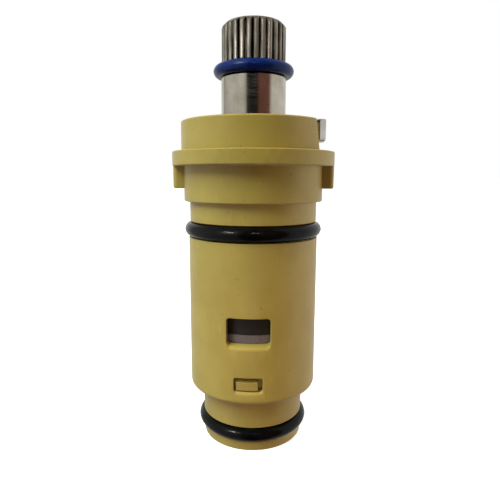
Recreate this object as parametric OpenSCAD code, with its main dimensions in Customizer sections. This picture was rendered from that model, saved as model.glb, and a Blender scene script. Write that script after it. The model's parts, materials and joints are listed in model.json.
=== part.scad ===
// Ceramic disc tap cartridge: a splined stem turns one ceramic disc on another to open the water way.
// Millimetres. +Z runs up the stem, the origin is the centre of the nose's foot, one outlet window faces -Y.

/* [Cartridge body] */
// Barrel outside radius
barrel_r = 11.35; // [10.6:0.05:12.4]
// Barrel height from its lower lip to the body ring's groove
barrel_h = 26.95; // [25:0.05:32]
// Barrel wall thickness
barrel_wall = 1.55; // [1.3:0.05:1.8]
// Rounding of the barrel's lower lip
barrel_round = 0.8; // [0.3:0.05:1.1]
// How much slimmer the neck above the body ring is than the barrel
neck_step = 0.25; // [0.1:0.05:0.5]
// Neck height
neck_h = 3.45; // [2.5:0.05:5]
// How far the land stands out of the barrel
land_step = 0.71; // [0.3:0.01:1.2]
// Land height
land_h = 5.95; // [5:0.05:8]
// How far the flange stands out of the land
flange_step = 1.94; // [1.2:0.02:3]
// Flange thickness
flange_t = 2.4; // [1.8:0.05:3.5]
// Width of each anti-turn lug
lug_w = 5; // [3:0.1:7]
// Lug depth below the flange
lug_h = 3.8; // [2:0.1:4.5]
// How far the lugs' outer face stays inside the flange
lug_inset = 0.04; // [0.02:0.01:0.2]
// Rounding of the body's moulded edges
body_edge = 0.2; // [0.1:0.05:0.3]

/* [Collar] */
// How far the collar stands out of the barrel
collar_step = 1.07; // [0.6:0.01:1.5]
// Collar height above the flange
collar_h = 5; // [4.2:0.05:6]
// Collar wall thickness
collar_wall = 1.6; // [1.2:0.05:2]
// Rounding of the collar's top edges
collar_round = 0.3; // [0.2:0.05:0.6]
// Wall of the boss that carries the stop clip
boss_wall = 2.44; // [2:0.02:3]
// Boss height above the flange
boss_h = 1.7; // [1:0.05:2]
// Thickness of the web under the boss
web_t = 3.55; // [2.5:0.05:4]
// Slope of the two ends of the collar's gap, degrees
gap_slope = 15.5; // [5:0.5:20]
// Height of the sill left standing in the collar's gap
gap_sill = 0.15; // [0.1:0.05:0.4]

/* [Windows] */
// Outlet window width
window_w = 7.15; // [5.5:0.05:8]
// Outlet window height
window_h = 4.65; // [4.2:0.05:5.2]
// Outlet window sill above the barrel's lip
window_rise = 10.25; // [9.6:0.05:11]
// Corner radius of the outlet windows
window_round = 0.6; // [0.2:0.05:1]
// Snap window width
snap_w = 4.75; // [4.4:0.05:5.4]
// Snap window height
snap_h = 2.55; // [2.3:0.05:2.7]
// Snap window sill above the barrel's lip
snap_rise = 2.35; // [2.1:0.05:2.5]
// Corner radius of the snap windows
snap_round = 0.4; // [0.1:0.05:0.6]

/* [Inlet nose] */
// How much slimmer the nose is than the barrel
nose_step = 2.3; // [2:0.05:2.6]
// Wall between the inlet bore and the nose ring's groove
nose_wall = 1.38; // [1:0.02:1.6]
// How much slimmer the lip under the ring is than the nose
lip_step = 0.1; // [0:0.05:0.5]
// Lip height under the nose ring's groove
lip_h = 1.65; // [1.2:0.05:2.4]
// Rounding of the nose's foot
lip_round = 0.25; // [0.1:0.05:1]
// Rounding of the inlet's mouth
mouth_round = 0.5; // [0.2:0.05:0.6]
// Nose height between the ring's groove and the barrel
nose_h = 5.25; // [4:0.05:7]
// Height of the nose's skirt inside the barrel
skirt_h = 5.1; // [5:0.05:5.4]
// How far the nose runs up inside the barrel before its skirt widens
skirt_drop = 0.4; // [0.2:0.05:0.6]
// Wall of the skirt round the seat seal
skirt_wall = 1.4; // [1.2:0.05:1.6]
// Depth of the seat seal's pocket
pocket_h = 3.6; // [3:0.1:4]
// Width of each snap arm
arm_w = 5.5; // [4.8:0.1:6.5]
// Snap barb width
barb_w = 3.6; // [3:0.05:4]
// Snap barb height
barb_h = 1.9; // [1.5:0.05:2]
// How far the barbs stay inside the barrel's outside
barb_inset = 0.3; // [0.2:0.05:0.6]
// Width of the slits beside each snap arm
slit_w = 0.8; // [0.6:0.05:1]
// Width of the keys that hold the fixed disc
key_w = 2.4; // [2:0.1:3]
// How far the nose is turned within the snap windows' play, degrees
nose_turn = -1.2; // [-2:0.1:2]

/* [Rubber rings] */
// Body ring section
body_ring_d = 2.5; // [2:0.05:2.7]
// How far the body ring stands out of the barrel
body_ring_out = 0.68; // [0.4:0.02:0.9]
// Free height beside the body ring in its groove
body_ring_play = 0.25; // [0.1:0.05:0.6]
// Nose ring section
nose_ring_d = 2.3; // [2:0.05:2.6]
// How far the nose ring stands out of the nose
nose_ring_out = 0.85; // [0.5:0.05:1]
// Free height beside the nose ring in its groove
nose_ring_play = 0.3; // [0.2:0.05:0.8]
// Index ring section
index_d = 1.95; // [1.6:0.05:2.2]
// How far the index ring stands out of the shank
index_out = 1.32; // [1:0.02:1.5]
// Free height beside the index ring in its groove
index_play = 0.25; // [0.1:0.05:0.5]
// Section of the two stem rings, as squeezed
stem_ring_d = 1.6; // [1.4:0.05:1.8]
// Free height beside each stem ring in its groove
stem_ring_play = 0.4; // [0.2:0.05:0.6]
// Depth of the upper stem ring below the stem's shoulder
stem_ring_drop = 3; // [2.4:0.1:4]
// Distance between the two stem rings
stem_ring_pitch = 4.4; // [3.6:0.1:5]
// Radial width of the seat seal
seat_seal_w = 1.35; // [1.2:0.05:1.6]
// Radial width of the ring inside the seat seal
support_w = 0.53; // [0.4:0.01:0.7]
// How far that ring stays below the fixed disc
support_drop = 0.4; // [0.2:0.05:0.8]

/* [Stem] */
// How far the stem stands up out of the collar
stem_reach = 15.9; // [14:0.05:22]
// Shank radius
shank_r = 5.5; // [5.3:0.02:5.7]
// How far the seal section inside the body stands out of the shank
seal_step = 1.7; // [1.5:0.05:1.9]
// Height of the seal section's foot
seal_foot = 3; // [2:0.1:4]
// Depth of the waist between the foot and the stem rings
waist_step = 0.7; // [0.4:0.05:1]
// Height of the seal section between the waist and the lower ring's middle
waist_gap = 2.5; // [2:0.1:3]
// Thickness of the thrust washer
washer_t = 0.62; // [0.4:0.02:0.8]
// How far the thrust washer stays inside the seal section
washer_inset = 0.2; // [0.1:0.05:0.4]
// Depth of the two flats that take the stop clip
flat_depth = 0.9; // [0.6:0.05:1.2]
// How much slimmer the spline's tips are than the shank
spline_step = 0.11; // [0:0.01:0.3]
// Spline length
spline_h = 6.5; // [5:0.1:8]
// Number of spline teeth
spline_n = 28; // [20:1:36]
// Depth of the spline's grooves
spline_depth = 0.45; // [0.3:0.01:0.5]
// Groove width at the tips, as a share of the pitch
spline_share = 0.5; // [0.4:0.02:0.6]
// Groove width at the root, as a share of its width at the tips
spline_root = 0.28; // [0.2:0.02:0.5]
// Turn of the first groove from -Y, degrees
spline_turn = 1.7; // [0:0.1:12]
// Chamfer at the top of the spline
top_chamfer = 0.7; // [0.3:0.05:1]
// Radius of the tapped hole for the handle screw
screw_r = 2.1; // [1.6:0.05:2.4]
// Depth of the tapped hole
screw_h = 11; // [8:0.5:13]
// Chamfer at the tapped hole's mouth
screw_mouth = 0.4; // [0.2:0.05:0.6]
// Width of the drive blade
blade_w = 3; // [2.4:0.1:3.6]
// Length of the drive blade
blade_l = 12; // [10:0.1:13]
// Height of the drive blade
blade_h = 2.2; // [1.6:0.05:2.3]

/* [Discs] */
// Thickness of the fixed disc
fixed_t = 3.15; // [2.8:0.05:3.4]
// Thickness of the moving disc
moving_t = 3.13; // [2.8:0.01:3.4]
// Edge rounding of both discs
disc_edge = 0.12; // [0.05:0.01:0.2]
// Water port angle in each disc, degrees
port_angle = 82; // [60:1:86]
// Inner radius of the water ports
port_in = 2.2; // [1.8:0.1:3]
// Outer radius of the water ports
port_out = 6.2; // [5.4:0.1:6.3]
// Height of the carrier's side openings
carrier_open = 3.6; // [3:0.1:4.4]
// Thickness of the carrier's plate
carrier_t = 3; // [2.8:0.1:3.6]
// Angle that each of the carrier's side walls spans, degrees
carrier_angle = 88; // [80:1:92]
// Radius of the pegs that drive the moving disc
peg_r = 1; // [0.8:0.05:1.2]
// Length of the pegs
peg_h = 1.4; // [1:0.1:1.8]

/* [Stop clip] */
// Sheet thickness
clip_t = 1.3; // [0.8:0.05:1.4]
// Width of each prong beside the shank
clip_side = 1.3; // [1:0.05:1.6]
// How far the prongs reach behind the shank
clip_tail = 0.7; // [0.3:0.05:1.2]
// Tab width
tab_w = 5.8; // [4:0.05:6.5]
// Tab height over the underside of the clip
tab_h = 3.55; // [3:0.05:4.5]
// Corner rounding of the tab
tab_round = 0.6; // [0.3:0.05:0.9]
// Inside radius of the tab's bend
bend_r = 0.3; // [0.2:0.05:0.5]
// Outside radius of the tab's coined bend
bend_out = 0.4; // [0.2:0.05:1]
// Direction of the tab as drawn, degrees from +X
tab_angle = -2.5; // [-10:0.5:5]
// How far the stem is drawn open from its closed stop, degrees
rest_open = 11; // [0:0.5:45]
// Stem travel between the stops, degrees
travel = 90; // [60:1:90]
// Free angle left at each stop, degrees
stop_clear = 1.4; // [1:0.1:3]

/* [Clearances] */
// Running clearance of the stem in the body
run_gap = 0.06; // [0.03:0.01:0.09]
// Gap between a stem ring and the bore that it turns in
ring_gap = 0.03; // [0.01:0.01:0.05]
// Gap round the discs in the chamber
disc_gap = 0.2; // [0.15:0.01:0.3]
// How far the carrier stays inside the discs and clear of their ports
carrier_gap = 0.1; // [0.05:0.01:0.2]
// Gap between the stem's foot and the chamber's ceiling
ceiling_gap = 0.4; // [0.2:0.05:0.6]
// Gap of the nose's skirt in the chamber
skirt_gap = 0.1; // [0.05:0.01:0.15]
// How far the seat seal lifts the fixed disc off the skirt
lift_gap = 0.1; // [0.05:0.01:0.2]
// Small gap where a ring or a washer seats
seat_gap = 0.02; // [0.01:0.01:0.03]
// Play under the snap barbs in their windows
catch_gap = 0.1; // [0.05:0.05:0.2]
// Side play in slots, notches and over flats
slot_gap = 0.05; // [0.03:0.01:0.1]
// Gap between the stop clip and the inside of the collar
clip_gap = 1.4; // [1:0.1:2]

/* [Hidden] */
$fn = 96;
// Straight pieces in each rounded corner
arc_steps = 6;
// How far a cut runs past the face that it opens
cut = 1;
// How far a joined feature is sunk in what carries it
root = 0.5;
// Fine and coarse rounding of turned and moulded edges
fine_edge = 0.15;
soft_edge = 0.3;
// Slope of a drill's point, degrees
drill_slope = 31;

// Radii that follow from the sizes above
chamber_r = barrel_r - barrel_wall;
neck_r = barrel_r - neck_step;
land_r = barrel_r + land_step;
flange_r = land_r + flange_step;
lug_r = flange_r - lug_inset;
collar_r = barrel_r + collar_step;
collar_in = collar_r - collar_wall;
body_ring_r = barrel_r + body_ring_out - body_ring_d / 2;
body_root_r = body_ring_r - body_ring_d / 2 - seat_gap;
nose_r = barrel_r - nose_step;
nose_ring_r = nose_r + nose_ring_out - nose_ring_d / 2;
nose_root_r = nose_ring_r - nose_ring_d / 2 - seat_gap;
inlet_r = nose_root_r - nose_wall;
lip_r = nose_r - lip_step;
skirt_r = chamber_r - skirt_gap;
pocket_r = skirt_r - skirt_wall;
seat_seal_r = pocket_r - seat_seal_w;
support_r = seat_seal_r - seat_gap;
barb_r = barrel_r - barb_inset;
disc_r = chamber_r - disc_gap;
carrier_r = disc_r - carrier_gap;
peg_place = (disc_r + port_out) / 2 - carrier_gap;
seal_r = shank_r + seal_step;
seal_bore_r = seal_r + run_gap;
shank_bore_r = shank_r + run_gap;
boss_r = shank_bore_r + boss_wall;
waist_r = seal_r - waist_step;
stem_ring_r = seal_bore_r - ring_gap - stem_ring_d / 2;
stem_root_r = stem_ring_r - stem_ring_d / 2 - seat_gap;
index_r = shank_r + index_out - index_d / 2;
index_root_r = index_r - index_d / 2 - seat_gap;
spline_r = shank_r - spline_step;
flat_y = shank_r - flat_depth;

// Levels, from the nose's foot upwards
z_lip_top = lip_h;
z_nose = z_lip_top + nose_ring_d + nose_ring_play;
z_barrel = z_nose + nose_h;
z_ring = z_barrel + barrel_h;
z_neck = z_ring + body_ring_d + body_ring_play;
z_land = z_neck + neck_h;
z_flange = z_land + land_h;
z_deck = z_flange + flange_t;
z_boss = z_deck + boss_h;
z_web = z_boss - web_t;
z_collar = z_deck + collar_h;
z_top = z_collar + stem_reach;
z_skirt = z_barrel + skirt_h;
z_pocket = z_skirt - pocket_h;
z_snap = z_barrel + snap_rise;
z_fixed = z_skirt + lift_gap;
z_moving = z_fixed + fixed_t + seat_gap;
z_carrier = z_moving + moving_t;
z_plate = z_carrier + carrier_open;
z_stem = z_plate + carrier_t;
z_ceiling = z_stem + ceiling_gap;
z_shoulder = z_web - washer_t - seat_gap;
z_ring_upper = z_shoulder - stem_ring_drop;
z_ring_lower = z_ring_upper - stem_ring_pitch;
z_foot = z_stem + seal_foot;
z_waist = z_ring_lower - waist_gap;
z_spline = z_top - spline_h;
z_index = z_spline - index_d - index_play;

// Half angle of the tab, and the two ends of the collar's gap at the boss's level
tab_half = asin(tab_w / 2 / collar_r);
gap_from = tab_angle - rest_open - tab_half - stop_clear;
gap_to = tab_angle - rest_open + travel + tab_half + stop_clear;

// Points of a polygon whose corners are given as [x, y, rounding]
function flat(p) = [p[0], p[1]];
function unit(v) = v / norm(v);
function turn_by(angle) = (angle + 540) % 360 - 180;
function corner(p, q, s, r) =
    let (a = unit(p - q), b = unit(s - q), half = acos(a * b) / 2)
    let (m = q + unit(a + b) * r / sin(half))
    let (from = q + a * r / tan(half) - m, to = q + b * r / tan(half) - m)
    let (start = atan2(from[1], from[0]), sweep = turn_by(atan2(to[1], to[0]) - start))
    [for (i = [0:arc_steps]) m + r * [cos(start + sweep * i / arc_steps), sin(start + sweep * i / arc_steps)]];
function rounded(c) =
    let (n = len(c))
    [for (i = [0:n - 1]) each c[i][2] <= 0 ? [flat(c[i])] :
        corner(flat(c[(i + n - 1) % n]), flat(c[i]), flat(c[(i + 1) % n]), c[i][2])];

// Ring turned from a profile of [radius, height, rounding] corners
module turned(corners) {
    rotate_extrude()
        polygon(rounded(corners));
}

// Rubber ring of a round section
module torus(ring_r, section_d, z) {
    translate([0, 0, z])
        rotate_extrude()
            translate([ring_r, 0])
                circle(d = section_d);
}

// Plain tube between two levels
module tube(r_in, r_out, z_from, z_to) {
    translate([0, 0, z_from])
        difference() {
            cylinder(r = r_out, h = z_to - z_from);
            translate([0, 0, -cut])
                cylinder(r = r_in, h = z_to - z_from + 2 * cut);
        }
}

// Draws its child on opposite sides of the axis
module both_sides() {
    for (side = [0, 180])
        rotate([0, 0, side])
            children();
}

// Opening cut through the barrel's wall on the -Y side
module wall_window(width, height, corner_r, z) {
    translate([0, cut - chamber_r, z])
        rotate([90, 0, 0])
            linear_extrude(height = barrel_wall + 2 * cut)
                polygon(rounded([
                    [-width / 2, 0, corner_r],
                    [width / 2, 0, corner_r],
                    [width / 2, height, corner_r],
                    [-width / 2, height, corner_r]]));
}

// Space on one side of a sloping gap end: turn is +1 for the start of the gap and -1 for its finish
module gap_side(angle, turn) {
    reach = 2 * flange_r;
    rotate([0, 0, angle])
        translate([0, 0, z_boss])
            rotate([turn * gap_slope, 0, 0])
                translate([-reach, turn > 0 ? 0 : -2 * reach, -reach])
                    cube(2 * reach);
}

// Gap in the collar in which the stop clip's tab swings
module collar_gap() {
    intersection() {
        tube(collar_in - root, collar_r + cut, z_deck + gap_sill, z_collar + cut);
        gap_side(gap_from, 1);
        gap_side(gap_to, -1);
    }
}

// Anti-turn lug under the flange on the +X side
module lug() {
    intersection() {
        turned([
            [land_r - root, z_flange - lug_h, 0],
            [lug_r, z_flange - lug_h, collar_round],
            [lug_r, z_flange + root, 0],
            [land_r - root, z_flange + root, 0]]);
        translate([0, -lug_w / 2, z_flange - lug_h - cut])
            cube([flange_r + cut, lug_w, lug_h + root + 2 * cut]);
    }
}

module cartridge_body() {
    color("#b5a060")
    difference() {
        union() {
            turned([
                [chamber_r, z_barrel, body_edge],
                [barrel_r, z_barrel, barrel_round],
                [barrel_r, z_ring, fine_edge],
                [body_root_r, z_ring, body_edge],
                [body_root_r, z_neck, body_edge],
                [neck_r, z_neck, fine_edge],
                [neck_r, z_land, body_edge],
                [land_r, z_land, body_edge],
                [land_r, z_flange, 0],
                [flange_r, z_flange, body_edge],
                [flange_r, z_deck, body_edge],
                [collar_r, z_deck, 0],
                [collar_r, z_collar, collar_round],
                [collar_in, z_collar, collar_round],
                [collar_in, z_deck, 0],
                [boss_r, z_deck, 0],
                [boss_r, z_boss, body_edge],
                [shank_bore_r, z_boss, body_edge],
                [shank_bore_r, z_web, 0],
                [seal_bore_r, z_web, 0],
                [seal_bore_r, z_ceiling, collar_round],
                [chamber_r, z_ceiling, soft_edge]]);
            both_sides()
                lug();
        }
        both_sides() {
            wall_window(window_w, window_h, window_round, z_barrel + window_rise);
            wall_window(snap_w, snap_h, snap_round, z_snap);
        }
        collar_gap();
    }
}

// Snap barb on the -Y side: square catch below, ramp above
module barb() {
    z_catch = z_snap + catch_gap;
    z_ramp = z_catch + barb_h * 3 / 4;
    z_tip = z_catch + barb_h;
    intersection() {
        turned([
            [skirt_r - root, z_catch, 0],
            [barb_r, z_catch, fine_edge],
            [barb_r, z_ramp, fine_edge],
            [skirt_r + barb_inset, z_tip, fine_edge],
            [skirt_r - root, z_tip, 0]]);
        translate([-barb_w / 2, -barrel_r - cut, z_barrel])
            cube([barb_w, barrel_r, skirt_h + cut]);
    }
}

// Two slits that free a snap arm on the -Y side
module arm_slits() {
    slit_l = cut + skirt_wall + 2;
    for (edge = [-1, 1])
        translate([edge * (arm_w + slit_w) / 2 - slit_w / 2, -skirt_r - cut, z_pocket + body_edge])
            cube([slit_w, slit_l, pocket_h + cut]);
}

// Key on the +X side that holds the fixed disc from turning
module disc_key() {
    intersection() {
        tube(pocket_r + fine_edge, skirt_r - fine_edge, z_skirt - cut, z_fixed + fixed_t - root);
        translate([0, -key_w / 2, z_skirt - cut])
            cube([skirt_r, key_w, fixed_t + 2 * cut]);
    }
}

module inlet_nose() {
    color("#a98f50")
    rotate([0, 0, nose_turn]) {
        difference() {
            union() {
                turned([
                    [inlet_r, 0, mouth_round],
                    [lip_r, 0, lip_round],
                    [lip_r, z_lip_top, fine_edge],
                    [nose_root_r, z_lip_top, body_edge],
                    [nose_root_r, z_nose, body_edge],
                    [nose_r, z_nose, fine_edge],
                    [nose_r, z_barrel + skirt_drop, 0],
                    [skirt_r, z_barrel + skirt_drop, fine_edge],
                    [skirt_r, z_skirt, soft_edge],
                    [pocket_r, z_skirt, fine_edge],
                    [pocket_r, z_pocket, 0],
                    [inlet_r, z_pocket, body_edge]]);
                both_sides()
                    barb();
            }
            both_sides()
                arm_slits();
        }
        both_sides()
            disc_key();
    }
}

module body_o_ring() {
    color("#1c1b1a")
    torus(body_ring_r, body_ring_d, (z_ring + z_neck) / 2);
}

module nose_o_ring() {
    color("#1c1b1a")
    torus(nose_ring_r, nose_ring_d, (z_lip_top + z_nose) / 2);
}

module seat_seal() {
    color("#2a2826")
    turned([
        [seat_seal_r, z_pocket, soft_edge],
        [pocket_r - seat_gap, z_pocket, soft_edge],
        [pocket_r - seat_gap, z_fixed, soft_edge],
        [seat_seal_r, z_fixed, soft_edge]]);
}

module seal_support_ring() {
    color("#d8d4c8")
    tube(support_r - support_w, support_r, z_pocket, z_fixed - support_drop);
}

// Round disc with two opposite water ports, their middles on the Y axis
module ported_disc(z, thickness) {
    difference() {
        turned([
            [0, z, 0],
            [disc_r, z, disc_edge],
            [disc_r, z + thickness, disc_edge],
            [0, z + thickness, 0]]);
        both_sides()
            rotate([0, 0, 90 - port_angle / 2])
                translate([0, 0, z - cut])
                    rotate_extrude(angle = port_angle)
                        translate([port_in, 0])
                            square([port_out - port_in, thickness + 2 * cut]);
    }
}

module fixed_disc() {
    color("#efece8")
    rotate([0, 0, nose_turn])
        difference() {
            ported_disc(z_fixed, fixed_t);
            both_sides()
                translate([pocket_r + fine_edge - slot_gap, -key_w / 2 - slot_gap, z_fixed - cut])
                    cube([skirt_wall + 2 * cut, key_w + 2 * slot_gap, fixed_t + 2 * cut]);
        }
}

// Places a spindle piece at its drawn turn, a quarter turn from fully open when rest_open is zero
module at_rest() {
    rotate([0, 0, rest_open])
        children();
}

module moving_disc() {
    color("#efece8")
    at_rest()
        difference() {
            rotate([0, 0, 90])
                ported_disc(z_moving, moving_t);
            both_sides()
                translate([0, peg_place, z_carrier - peg_h - carrier_gap])
                    cylinder(r = peg_r + slot_gap, h = peg_h + carrier_gap + cut);
        }
}

// Carrier's side wall on the +Y side, with the drive peg under it
module carrier_wall() {
    wall_in = port_out + carrier_gap;
    rotate([0, 0, 90 - carrier_angle / 2])
        translate([0, 0, z_carrier])
            rotate_extrude(angle = carrier_angle)
                translate([wall_in, 0])
                    square([carrier_r - carrier_gap - wall_in, carrier_open + root]);
    translate([0, peg_place, z_carrier - peg_h])
        cylinder(r = peg_r, h = peg_h + root);
}

module disc_carrier() {
    color("#26241f")
    at_rest() {
        difference() {
            translate([0, 0, z_plate])
                cylinder(r = carrier_r, h = carrier_t);
            translate([-blade_w / 2 - slot_gap, -blade_l / 2 - slot_gap, z_stem - blade_h - slot_gap])
                cube([blade_w + 2 * slot_gap, blade_l + 2 * slot_gap, blade_h + cut]);
        }
        both_sides()
            carrier_wall();
        // Post in the middle
        translate([0, 0, z_carrier])
            cylinder(r = port_in - 2 * carrier_gap, h = carrier_open + root);
    }
}

// Profile of the stem's ring grooves at a level, as corners to put into its outline
function ring_groove(z) =
    let (half = (stem_ring_d + stem_ring_play) / 2)
    [[seal_r, z - half, fine_edge],
    [stem_root_r, z - half, fine_edge],
    [stem_root_r, z + half, fine_edge],
    [seal_r, z + half, fine_edge]];

// Cross-section of one spline groove on the +X side, its mouth a little wider than the tip circle needs
module spline_groove() {
    mouth_w = spline_r * 2 * PI / spline_n * spline_share;
    root_w = mouth_w * spline_root;
    outer_w = root_w + (mouth_w - root_w) / spline_depth * (spline_depth + cut);
    polygon([
        [spline_r - spline_depth, -root_w / 2],
        [spline_r + cut, -outer_w / 2],
        [spline_r + cut, outer_w / 2],
        [spline_r - spline_depth, root_w / 2]]);
}

// Flat in the shank on the +Y side, where a prong of the stop clip sits
module clip_flat() {
    translate([-shank_r, flat_y, z_boss])
        cube([2 * shank_r, shank_r, clip_t + 2 * seat_gap + slot_gap]);
}

module stem() {
    color("#b9b6aa")
    union() {
        difference() {
            turned(concat(
                [[0, z_stem, 0],
                [seal_r, z_stem, collar_round],
                [seal_r, z_foot, soft_edge],
                [waist_r, z_foot + waist_step, soft_edge],
                [waist_r, z_waist - waist_step, soft_edge],
                [seal_r, z_waist, soft_edge]],
                ring_groove(z_ring_lower),
                ring_groove(z_ring_upper),
                [[seal_r, z_shoulder, soft_edge],
                [shank_r, z_shoulder, 0],
                [shank_r, z_index, fine_edge],
                [index_root_r, z_index, fine_edge],
                [index_root_r, z_spline, fine_edge],
                [spline_r, z_spline, fine_edge],
                [spline_r, z_top - top_chamfer, 0],
                [spline_r - top_chamfer, z_top, 0],
                [screw_r + screw_mouth, z_top, 0],
                [screw_r, z_top - screw_mouth, 0],
                [screw_r, z_top - screw_h, 0],
                [0, z_top - screw_h - screw_r * tan(drill_slope), 0]]));
            // Grooves between the spline's teeth
            for (i = [0:spline_n - 1])
                rotate([0, 0, spline_turn - 90 + i * 360 / spline_n])
                    translate([0, 0, z_spline - slot_gap])
                        linear_extrude(height = spline_h + cut)
                            spline_groove();
            rotate([0, 0, tab_angle])
                both_sides()
                    clip_flat();
        }
        at_rest()
            translate([-blade_w / 2, -blade_l / 2, z_stem - blade_h])
                cube([blade_w, blade_l, blade_h + root]);
    }
}

module stem_o_ring_upper() {
    color("#1c1b1a")
    torus(stem_ring_r, stem_ring_d, z_ring_upper);
}

module stem_o_ring_lower() {
    color("#1c1b1a")
    torus(stem_ring_r, stem_ring_d, z_ring_lower);
}

module thrust_washer() {
    color("#e8e4d8")
    tube(shank_r + seat_gap, seal_r - washer_inset, z_shoulder, z_web - seat_gap);
}

// Fork that slides over the stem's flats from the side
module clip_fork() {
    fork_w = 2 * (shank_r + clip_side);
    slot_w = 2 * (flat_y + slot_gap);
    difference() {
        intersection() {
            cylinder(r = collar_in - clip_gap, h = clip_t);
            translate([-shank_r - clip_tail, -fork_w / 2, -cut])
                cube([2 * collar_in, fork_w, clip_t + 2 * cut]);
        }
        translate([-2 * collar_in, -slot_w / 2, -cut])
            cube([2 * collar_in, slot_w, clip_t + 2 * cut]);
        translate([0, 0, -cut])
            cylinder(r = shank_r + slot_gap, h = clip_t + 2 * cut);
    }
}

// Arm from the fork to the tab, with the bend and the tab that follows the collar's outside
module clip_tab() {
    bend_in = collar_r - clip_t - 3 * bend_r;
    arm_w = tab_w - 2 * bend_r;
    translate([shank_r + cut, -arm_w / 2, 0])
        cube([bend_in + root - shank_r - cut, arm_w, clip_t]);
    intersection() {
        turned([
            [bend_in, 0, 0],
            [collar_r, 0, bend_out],
            [collar_r, tab_h, fine_edge],
            [collar_r - clip_t, tab_h, fine_edge],
            [collar_r - clip_t, clip_t, bend_r],
            [bend_in, clip_t, 0]]);
        rotate([90, 0, 90])
            linear_extrude(height = collar_r + cut)
                polygon(rounded([
                    [-tab_w / 2, -cut, 0],
                    [tab_w / 2, -cut, 0],
                    [tab_w / 2, tab_h, tab_round],
                    [-tab_w / 2, tab_h, tab_round]]));
    }
}

module stop_clip() {
    color("#c4c2bb")
    rotate([0, 0, tab_angle])
        translate([0, 0, z_boss + seat_gap]) {
            clip_fork();
            clip_tab();
        }
}

module index_ring() {
    color("#1e3c9a")
    torus(index_r, index_d, (z_index + z_spline) / 2);
}

cartridge_body();
inlet_nose();
body_o_ring();
nose_o_ring();
seat_seal();
seal_support_ring();
fixed_disc();
moving_disc();
disc_carrier();
stem();
stem_o_ring_upper();
stem_o_ring_lower();
thrust_washer();
stop_clip();
index_ring();
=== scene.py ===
"""Looks of a ceramic disc tap cartridge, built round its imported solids.

Lengths are millimetres until MM scales them. The floor and the lights are in metres.
"""

import json
import math

import bmesh
import bpy
from mathutils import Matrix, Vector


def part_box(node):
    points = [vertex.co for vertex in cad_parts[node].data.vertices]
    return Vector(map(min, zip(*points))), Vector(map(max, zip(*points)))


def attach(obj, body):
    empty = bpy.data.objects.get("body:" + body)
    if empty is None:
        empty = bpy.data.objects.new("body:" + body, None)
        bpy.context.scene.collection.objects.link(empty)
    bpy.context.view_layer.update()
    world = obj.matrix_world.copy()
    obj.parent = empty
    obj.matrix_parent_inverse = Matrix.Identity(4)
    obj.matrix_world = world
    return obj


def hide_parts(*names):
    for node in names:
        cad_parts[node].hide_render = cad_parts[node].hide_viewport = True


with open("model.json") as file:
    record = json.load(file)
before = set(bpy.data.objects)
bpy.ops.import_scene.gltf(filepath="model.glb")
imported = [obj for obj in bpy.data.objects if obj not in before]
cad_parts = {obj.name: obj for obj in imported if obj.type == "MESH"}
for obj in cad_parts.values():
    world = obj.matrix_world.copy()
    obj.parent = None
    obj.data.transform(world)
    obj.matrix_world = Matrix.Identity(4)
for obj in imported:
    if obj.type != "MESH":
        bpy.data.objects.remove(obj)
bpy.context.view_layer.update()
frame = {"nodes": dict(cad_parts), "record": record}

MM = 0.001
TINY = 1e-6

# Camera, from the photograph's outlines, with its roll in radians
IMAGE_PX = 500
CAMERA_FOCAL_PX = 460
AXIS_OFFSET_PX = 3.0
CAMERA_SENSOR = 36
CAMERA_DISTANCE = 82.0
CAMERA_HEIGHT = 46.9
CAMERA_AZIMUTH = math.radians(3.7)
CAMERA_PITCH = math.radians(9.12)
CAMERA_ROLL = 0.003
CAMERA_NEAR = 1
CAMERA_FAR = 10000

# Radii of the body, from the barrel's
BARREL_R = 11.35
BARREL_WALL = 1.55
RING_GROOVE_DEPTH = 1.84
NECK_STEP = 0.25
LAND_STEP = 0.71
COLLAR_STEP = 1.07
COLLAR_WALL = 1.6
CHAMBER_R = BARREL_R - BARREL_WALL
RING_ROOT_R = BARREL_R - RING_GROOVE_DEPTH
NECK_R = BARREL_R - NECK_STEP
LAND_R = BARREL_R + LAND_STEP
COLLAR_R = BARREL_R + COLLAR_STEP
COLLAR_IN = COLLAR_R - COLLAR_WALL

# Radii of the stem, from the shank's, and of the body's bores and boss round it
SHANK_R = 5.5
SEAL_STEP = 1.7
WAIST_STEP = 0.7
RUN_CLEARANCE = 0.06
BOSS_WALL = 2.44
SEAL_R = SHANK_R + SEAL_STEP
WAIST_R = SEAL_R - WAIST_STEP
SHANK_BORE_R = SHANK_R + RUN_CLEARANCE
SEAL_BORE_R = SEAL_R + RUN_CLEARANCE
BOSS_R = SHANK_BORE_R + BOSS_WALL

# Levels and other sizes of the body
Z_CEILING = 28.0
Z_RING = 36.45
Z_NECK = 39.2
Z_LAND = 42.65
Z_FLANGE = 48.6
Z_WEB = 49.15
Z_DECK = 51.0
Z_BOSS = 52.7
SILL_H = 0.15
SILL_INSET = 0.03
SILL_EDGE = SILL_H / 3
GAP_FROM = math.radians(-28.4)
GAP_TO = math.radians(91.9)
GAP_SLOPE = math.radians(15.5)
LUG_W = 5.0
LUG_H = 3.8
LUG_R = 13.96

# Rounding of edges, and how far a form that stands on another reaches into it
FINE_EDGE = 0.12
MOULD_EDGE = 0.2
WIDE_EDGE = 0.3
BARREL_ROUND = 0.8
END_ROUND = 0.22
LUG_ROUND = 0.7
SINK = 0.3

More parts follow.
